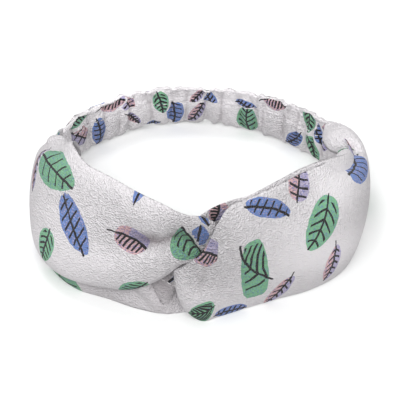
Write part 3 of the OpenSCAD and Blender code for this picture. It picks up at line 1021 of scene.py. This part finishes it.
def make_loop(name, node, stations, shape, leaves, bare, seed):
    """One loop with its print. bare are places that the scattered leaves keep away from."""
    strip = Strip(stations, GRID_STEP, ACROSS)
    shape(strip)
    strip.measure()
    piece, cloth = loop_shell(name, strip)
    cloth.centres = [(strip.place(u, v), u, front) for u, v, front in bare]
    for front, kind, stem, tip, scale in leaves:
        stamp_between(cloth, strip, front, kind, stem, tip, scale)
        u, v = (stem[0] + tip[0]) / 2, (stem[1] + tip[1]) / 2
        cloth.centres.append((strip.place(u, v), u, front))
    scatter(cloth, strip, seed)
    # Painted shade for the loop: darker where the cloth lies deep in a fold, and the painted
    # shadow under the knot and behind the outer leg
    painted_shadow = np.concatenate([strip.painted_shadow, strip.painted_shadow[:, -2:0:-1]], axis=1)
    shade = np.maximum(sunken(cloth.points, 7, LOOP_FOLD), painted_shadow)
    cloth.write(piece, points_of(piece), shade)
    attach(piece, "front")
    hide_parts(node)
    return piece, strip


# ---------------------------------------------------------------- the gathered casing

ELASTIC_Z = (4, 24)
CASING_H = 28.0
CASING_HALF = 2.7
SEAM_H = 0.62
TUCKED = 3.0
# Pleats of the inner face: ring angle at the top and at the bottom, depth, and how far
# each side of it slopes
PLEATS = [
    [-62, -60, 1.6, 2.0, 4.0], [-51, -49, 2.2, 4.0, 1.6], [-43, -41, 1.1, 1.5, 3.0],
    [-36, -34, 1.0, 2.5, 1.5], [-31, -30, 1.5, 1.5, 3.5], [-23, -18, 2.0, 3.5, 1.5],
    [-12, -12, 1.6, 1.5, 3.5], [-6.5, -6, 1.4, 2.5, 1.5], [-1, 0.5, 0.9, 2.0, 2.0],
    [3, 2.5, 2.2, 1.5, 3.0], [10, 8.5, 1.6, 3.0, 1.2], [17, 18, 1.5, 1.5, 3.0],
    [26, 24, 2.4, 2.5, 1.6], [30, 27, 1.2, 1.3, 3.0], [40, 37, 1.8, 1.5, 3.5],
    [47, 45, 1.2, 3.0, 1.5], [51, 50.5, 1.6, 1.5, 3.0], [56, 54.5, 1.4, 2.0, 2.0],
    [60, 59, 1.8, 1.5, 2.5], [64, 63.5, 1.4, 1.5, 2.0],
]


def pleat_depth(angle, h, pleats):
    """How far the cloth sinks at an angle and height into the pleats, in millimetres."""
    depth = np.zeros(np.broadcast(angle, h).shape)
    per_degree = math.radians(1) * 68
    for top, bottom, deep, before, after in pleats:
        wander = 0.7 * noise(h * 2.2 + top, 0 * h + deep * 9, SEED)
        gap = (angle - bottom - (top - bottom) * h - wander) * per_degree
        reach = np.where(gap > 0, after, before)
        near = np.sqrt((gap / reach) ** 2 + 0.04)
        depth = np.maximum(depth, deep * np.exp(0.2 - near) * (0.75 + 0.35 * np.abs(2 * h - 1)))
    return depth


def outer_pleats(seed):
    """Pleats of the outer face, which the gathers push out of step with the inner ones."""
    random = np.random.default_rng(seed)
    rows, at = [], -64.0
    while at < 64:
        lean = random.uniform(-2.5, 2.5)
        rows.append([at + lean, at - lean, random.uniform(1.0, 2.3), *random.uniform(1.3, 3.5, 2)])
        at += random.uniform(5.0, 9.0)
    return rows


def casing_section(angle):
    """The bottom and the top of the casing's middle surface at each angle, flat radii."""
    plan = np.array(CASING_PLAN)
    radii = smooth_curve(plan[:, 1:], plan[:, 0], angle)
    return radii[:, 0], radii[:, 1]


def casing_points(columns, face_rows):
    """Rings round the casing: up the inner face, over, down the outer face and under."""
    angle = np.linspace(CASING_PLAN[0][0] - TUCKED, CASING_PLAN[-1][0] + TUCKED, columns)
    rise = np.linspace(0, 1, face_rows)
    h = np.concatenate([rise, rise[::-1]])
    inner = np.arange(2 * face_rows) < face_rows
    bottom, top = casing_section(angle)
    h2, a2 = np.broadcast_to(h, (columns, len(h))), angle[:, None]
    bulge = np.sqrt(np.maximum(1 - np.abs(2 * h2 - 1) ** 3.5, 0.0)) * 0.9 + 0.1
    depth_in = pleat_depth(a2, h2, PLEATS)
    depth_out = pleat_depth(a2, h2, outer_pleats(SEED + 3))
    depth = np.where(inner[None, :], depth_in, depth_out)
    close = 0.35 + 0.65 * smoothstep(0, 5.0, np.minimum(a2 - angle[0], angle[-1] - a2))
    half = (CASING_HALF + 1.2 - 1.75 * depth) * bulge * close
    half = np.maximum(half * (1 - 0.3 * smoothstep(SEAM_H, SEAM_H + 0.15, h2)), 1.25 * close)
    seam = np.exp(-(((h2 - SEAM_H - 0.02 * noise(a2 / 6, h2 * 0, 5)) / 0.022) ** 2))
    half = half - np.where(inner[None, :], 0.55 * seam, 0.3 * seam)
    half = half + 0.22 * noise(a2 / 1.6, h2 * 9, 21) + 0.12 * noise(a2 / 0.7, h2 * 16, 22)
    edge = np.abs(2 * h2 - 1) ** 4
    sway = edge * (1.0 + 0.6 * h2) * noise(a2 / 2.6, h2 * 1.5 + 3, 23)
    radius = bottom[:, None] + (top - bottom)[:, None] * h2 + sway
    radius = radius + np.where(inner[None, :], -half, half)
    both = np.minimum(depth_in, 2.4)
    drop = 0.7 * both + 0.8 * noise(a2 / 2.0, h2 * 0 + 8, 24) + 0.7
    z = CASING_H * h2 - edge * (2 * h2 - 1) * drop * 0.9
    z -= edge * smoothstep(0.5, 1.0, h2) * (0.6 + 2.2 * (1 - smoothstep(-50, -15, a2)))
    turn = np.radians(a2)
    x = CASING_CENTRE[0] + radius * np.sin(turn) - DRAWN_MIDDLE[0]
    y = CASING_CENTRE[1] + radius * np.cos(turn) - DRAWN_MIDDLE[1]
    points = np.stack([x, y, np.maximum(z, 0.05)], axis=-1)
    return points, angle, h, inner


# Each leaf: its kind, where its stem and its tip are as (ring angle, share of the height),
# half its length, and the side of the seam that it keeps to
CASING_LEAVES = [
    ("feather", (-64, 0.98), (-50, 0.9), 7.5, None),
    ("grid", (-63, 0.72), (-51, 0.35), 9, None),
    ("ticks", (-46.5, 0.72), (-44, 0.0), 9.5, None),
    ("comb", (-43, 0.92), (-35.5, 0.9), 7.5, "above"),
    ("grid", (-34, 0.98), (-30.5, 0.66), 6.5, "above"),
    ("fishbone", (-31.5, 0.5), (-26, 0.26), 6, "below"),
    ("feather", (-18.6, 0.86), (-16, 0.46), 7, None),
    ("ticks", (-12, 0.80), (-9.8, 0.02), 10.5, "below"),
    ("ticks", (-18, 0.1), (-22, 0.02), 5, "below"),
    ("fishbone", (1.5, 1.0), (-3.5, 0.64), 7, "above"),
    ("fishbone", (1.5, 0.62), (-4, 0.12), 9, "below"),
    ("lattice", (1.6, 1.05), (6.5, 0.55), 8.5, "above"),
    ("ticks", (17, 0.75), (25.5, 0.62), 6.5, "above"),
    ("feather", (20.5, -0.02), (21.5, 0.66), 9.5, "below"),
    ("comb", (31.5, 0.98), (39, 0.95), 6.5, "above"),
    ("feather", (53, 1.05), (53, 0.72), 7, None),
    ("lattice", (49, 0.45), (39.5, 0.0), 8.5, "below"),
    ("ticks", (56.0, 0.85), (59.5, 0.5), 7.5, None),
    ("grid", (60.5, 0.4), (64, 0.95), 8, None),
    ("feather", (53.5, 0.45), (55.5, -0.05), 8, None),
]


def nearest_column(angle, h, inner, spot, front):
    i = int(np.abs(angle - spot[0]).argmin())
    miss = np.abs(h - spot[1]) + np.where(inner == front, 0, 10)
    return i, int(miss.argmin())


def cloth_distances(points):
    """Millimetres of cloth along the casing and round it, up to each point."""
    along = np.linalg.norm(np.diff(points, axis=0), axis=2)
    middle = along[:, along.shape[1] // 4]
    x = np.r_[0, np.cumsum(middle)]
    steps = np.linalg.norm(np.diff(points, axis=1), axis=2).mean(0)
    y = np.r_[0, np.cumsum(steps)]
    return np.broadcast_to(x[:, None], points.shape[:2]), np.broadcast_to(y, points.shape[:2])


def stamp_casing(cloth, angle, h, inner, x, y, leaf):
    kind, stem, tip, half, part = leaf
    i, j = nearest_column(angle, h, inner, stem, True)
    k, m = nearest_column(angle, h, inner, tip, True)
    start, end = np.array([x[i, j], y[i, j]]), np.array([x[k, m], y[k, m]])
    axis = unit(end - start)
    centre = (start + end) / 2
    gx, gy = x - centre[0], y - centre[1]
    a, b = gx * axis[0] + gy * axis[1], gx * axis[1] - gy * axis[0]
    allowed = np.broadcast_to(inner, x.shape).copy()
    if part == "above":
        allowed &= (h > SEAM_H)[None, :]
    if part == "below":
        allowed &= (h <= SEAM_H)[None, :]
    cloth.stamp(kind, a, b, half, allowed)


CASING_TRIES = 160
CASING_LEAF_GAP = 22.0


def scatter_casing(cloth, angle, h, inner, x, y, seed):
    """Leaves at random places on the casing's outer face, apart from each other."""
    random = np.random.default_rng(seed)
    names = list(KINDS)
    centres = []
    for _ in range(CASING_TRIES):
        spot = (random.uniform(-66, 64), random.uniform(0.05, 0.95))
        turn, half = random.uniform(0, 2 * math.pi), random.uniform(9, 12)
        kind = names[random.integers(len(names))]
        i, j = nearest_column(angle, h, inner, spot, False)
        centre = np.array([x[i, j], y[i, j]])
        if any(np.linalg.norm(c - centre) < CASING_LEAF_GAP for c in centres):
            continue
        centres.append(centre)
        gx, gy = x - centre[0], y - centre[1]
        a = gx * math.cos(turn) + gy * math.sin(turn)
        b = gy * math.cos(turn) - gx * math.sin(turn)
        allowed = np.broadcast_to(~inner, x.shape)
        cloth.stamp(kind, a, b, half, allowed)


CASING_COLUMNS = 420
CASING_ROWS = 40


def make_casing():
    """The gathered tube at the back, with its print, and the threads in it."""
    points, angle, h, inner = casing_points(CASING_COLUMNS, CASING_ROWS)
    piece = skin("gathered_casing", points)
    piece.data.materials.append(CASING_CREPE_PAINTED_LIGHT)
    cloth = Print(points)
    x, y = cloth_distances(points)
    for leaf in CASING_LEAVES:
        stamp_casing(cloth, angle, h, inner, x, y, leaf)
    scatter_casing(cloth, angle, h, inner, x, y, SEED + 8)
    rest = np.stack([x, y, 0 * x], axis=-1).reshape(-1, 3)
    # Painted shade: the casing's colour is darkened where its cloth lies deep in a pleat
    cloth.write(piece, rest, sunken(points, 5, CASING_FOLD))
    stretch_with_back(piece)
    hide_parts("back_casing")
    make_casing_threads(points, angle, h, inner)
    return piece


def stretch_with_back(piece):
    """Bakes the piece's placement into its mesh."""
    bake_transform(piece)


# ---------------------------------------------------------------- elastic and thread

THREAD_R = 0.2
THREAD_SIDES = 8
STITCH = 2.2
STITCH_GAP = 0.9


def rings_round(points, radii, up):
    """Rings of a round tube along points, each with its own radius."""
    along = unit(np.gradient(points, axis=0))
    side = unit(np.cross(along, up))
    over = np.cross(side, along)
    turn = np.linspace(0, 2 * math.pi, THREAD_SIDES, endpoint=False)
    cos, sin = np.cos(turn)[None, :, None], np.sin(turn)[None, :, None]
    ring = side[:, None] * cos + over[:, None] * sin
    return points[:, None] + ring * np.asarray(radii)[:, None, None]


def stitch_row(path, toward):
    """Running stitches along a path on cloth whose outward side is toward, as a mesh's
    points and faces: each one rises out of the cloth and goes back into it."""
    length = np.r_[0, np.cumsum(np.linalg.norm(np.diff(path, axis=0), axis=1))]
    points, faces, at = [], [], 0.4
    while at + STITCH < length[-1]:
        share = np.linspace(0, 1, 7)
        where = at + STITCH * share
        line = np.stack([np.interp(where, length, path[:, k]) for k in range(3)], axis=1)
        up = np.stack([np.interp(where, length, toward[:, k]) for k in range(3)], axis=1)
        line = line + up * (np.sin(share * math.pi) * 0.32 - 0.14)[:, None]
        radii = THREAD_R * np.maximum(np.sin(share * math.pi) ** 0.3, 0.35)
        rings = rings_round(line, radii, up)
        first = sum(len(p) for p in points)
        points.append(rings.reshape(-1, 3))
        faces += tube_faces(*rings.shape[:2], first)
        at += STITCH + STITCH_GAP
    return np.concatenate(points), faces


def tube_faces(count, sides, first):
    faces = []
    for r in range(count - 1):
        for j in range(sides):
            a, b = first + r * sides + j, first + r * sides + (j + 1) % sides
            faces.append((a, b, b + sides, a + sides))
    last = first + (count - 1) * sides
    faces.append(tuple(first + j for j in reversed(range(sides))))
    faces.append(tuple(last + j for j in range(sides)))
    return faces


def make_thread_piece(name, node, rows):
    """One piece of stitching made of several rows, each a path and the way it faces."""
    points, faces = [], []
    for path, toward in rows:
        first = sum(len(p) for p in points)
        p, f = stitch_row(path, toward)
        points.append(p)
        faces += [tuple(i + first for i in face) for face in f]
    points = np.concatenate(points)
    mesh = smooth_mesh(name, points, faces)
    put_vectors(mesh, "rest", points)
    mesh.materials.append(THREAD)
    piece = add_object(name, mesh)
    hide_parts(node)
    return piece


def row_on_loop(strip, places, front, count=60):
    """A path on one face of a loop through places, which are (station, share)."""
    u = np.interp(np.linspace(0, 1, count), np.linspace(0, 1, len(places)), [p[0] for p in places])
    v = np.interp(np.linspace(0, 1, count), np.linspace(0, 1, len(places)), [p[1] for p in places])
    sign = 1 if front else -1
    toward = np.array([strip.normal_at(a, b) for a, b in zip(u, v)]) * sign
    path = np.array([strip.place(a, b) for a, b in zip(u, v)])
    return path + toward * (CLOTH_T / 2), toward


def make_loop_threads(side, strip, outside_front):
    """The seam up the inside of a loop's tube, and the stitching through its two ends."""
    seams = [
        row_on_loop(strip, [(start, 0.5), (end, 0.5)], not outside_front, 400)
        for start, end in ((0.9, 8.5), (14.5, 22.2))
    ]
    piece = make_thread_piece(side + "_loop_seam_thread", side + "_loop_seam", seams)
    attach(piece, "front")
    joins = [row_on_loop(strip, [(u, 0.06), (u, 0.94)], outside_front) for u in (0.22, 22.8)]
    piece = make_thread_piece(side + "_join_thread", side + "_join_stitching", joins)
    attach(piece, "front")


ELASTIC_ENDS = (-65, 63)
ELASTIC_HALF = 0.6
ELASTIC_REACH = 68
# Points round the elastic: the share of its height and the face, inner or outer
ELASTIC_SECTION = [
    (0.0, -1), (0.3, -1), (0.7, -1), (1.0, -1), (1.0, 1), (0.7, 1), (0.3, 1), (0.0, 1),
]


def make_elastic_band():
    """The flat elastic inside the casing, held at the casing's two ends."""
    angle = np.linspace(*ELASTIC_ENDS, 200)
    bottom, top = casing_section(angle)
    h = np.array(ELASTIC_Z) / CASING_H
    turn = np.radians(angle)
    rings = []
    for share, out in ELASTIC_SECTION:
        height = h[0] + (h[1] - h[0]) * share
        radius = bottom + (top - bottom) * height + ELASTIC_HALF * out
        x = CASING_CENTRE[0] + radius * np.sin(turn) - DRAWN_MIDDLE[0]
        y = CASING_CENTRE[1] + radius * np.cos(turn) - DRAWN_MIDDLE[1]
        rings.append(np.stack([x, y, np.full_like(x, height * CASING_H)], axis=-1))
    rings = np.stack(rings, axis=1)
    piece = skin("woven_elastic_band", rings)
    piece.data.materials.append(ELASTIC)
    along = np.repeat(turn * ELASTIC_REACH, rings.shape[1])
    flat = np.stack([0 * along, rings[..., 2].ravel(), along], axis=-1)
    put_vectors(piece.data, "rest", flat)
    stretch_with_back(piece)
    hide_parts("elastic_band")


SEAM_INSET = 12
TACK_INSET = 14


def inner_row(h, inner, share):
    """The casing's row of points on its inner face that is nearest a share of its height."""
    return int(np.abs(h - share + 10 * ~inner).argmin())


def make_casing_threads(points, angle, h, inner):
    """The casing's long seam, and the rows that tack the elastic's ends in the casing."""
    toward = np.stack([-np.sin(np.radians(angle)), -np.cos(np.radians(angle)), 0 * angle], axis=1)
    middle = slice(SEAM_INSET, -SEAM_INSET)
    seam = points[middle, inner_row(h, inner, SEAM_H)], toward[middle]
    piece = make_thread_piece("casing_seam_thread", "casing_seam", [seam])
    stretch_with_back(piece)
    low, high = [inner_row(h, inner, z / CASING_H) for z in ELASTIC_Z]
    for side, column in (("left", TACK_INSET), ("right", len(angle) - 1 - TACK_INSET)):
        path = points[column, low:high]
        facing = np.repeat(toward[column : column + 1], len(path), axis=0)
        piece = make_thread_piece(side + "_tack_thread", side + "_elastic_tack", [(path, facing)])
        stretch_with_back(piece)


# ---------------------------------------------------------------- the stage


FLOOR_REACH = 3.0
LIGHT_TARGET = (0, -0.01, 0.03)
WORLD_STRENGTH = 0.55
# Each light: name, place and size in metres, and power in watts
LIGHTS = [
    ("key", (-0.20, 0.15, 0.90), 0.35, 1.9),
    ("front", (-0.40, -1.30, 1.40), 1.20, 20.3),
    ("fill", (0.55, -0.95, 0.75), 0.60, 3.6),
    ("left", (-0.90, -0.10, 0.70), 0.60, 0.7),
    ("right", (0.90, -0.10, 0.70), 0.60, 0.3),
]


def make_floor():
    """A wide white floor that the headband stands on."""
    mesh = bpy.data.meshes.new("floor")
    far = FLOOR_REACH
    corners = [(-far, -far, 0), (far, -far, 0), (far, far, 0), (-far, far, 0)]
    mesh.from_pydata(corners, [], [(0, 1, 2, 3)])
    floor = add_object("floor", mesh)
    material, _, shader = new_material("white_floor", 0.9)
    shader.inputs["Base Color"].default_value = (0.93, 0.94, 0.935, 1)
    shader.inputs["Specular IOR Level"].default_value = 0.0
    shader.inputs["Emission Color"].default_value = (1, 1, 1, 1)
    shader.inputs["Emission Strength"].default_value = 0.07
    mesh.materials.append(material)
    floor.visible_diffuse = False


def make_light(name, place, size, power):
    """A round lamp that points at the headband."""
    data = bpy.data.lights.new(name, "AREA")
    data.shape = "DISK"
    data.size = size
    data.energy = power
    lamp = add_object(name, data)
    lamp.location = place
    lamp.rotation_mode = "QUATERNION"
    ahead = Vector(LIGHT_TARGET) - Vector(place)
    lamp.rotation_quaternion = ahead.to_track_quat("-Z", "Y")


def make_world():
    world = bpy.data.worlds.new("studio")
    world.use_nodes = True
    background = world.node_tree.nodes["Background"]
    background.inputs[0].default_value = (1, 1, 1, 1)
    background.inputs[1].default_value = WORLD_STRENGTH
    bpy.context.scene.world = world
    bpy.context.scene.view_settings.view_transform = "Standard"


make_floor()
make_world()
for light in LIGHTS:
    make_light(*light)

left_loop, left_strip = make_loop(
    "left_loop_cloth", "left_loop", LEFT_STATIONS, shape_left, LEFT_LEAVES, LEFT_BARE, SEED)
right_loop, right_strip = make_loop(
    "right_loop_cloth", "right_loop", RIGHT_STATIONS, shape_right, RIGHT_LEAVES, RIGHT_BARE,
    SEED + 1)
casing = make_casing()
make_loop_threads("left", left_strip, True)
make_loop_threads("right", right_strip, False)
make_elastic_band()
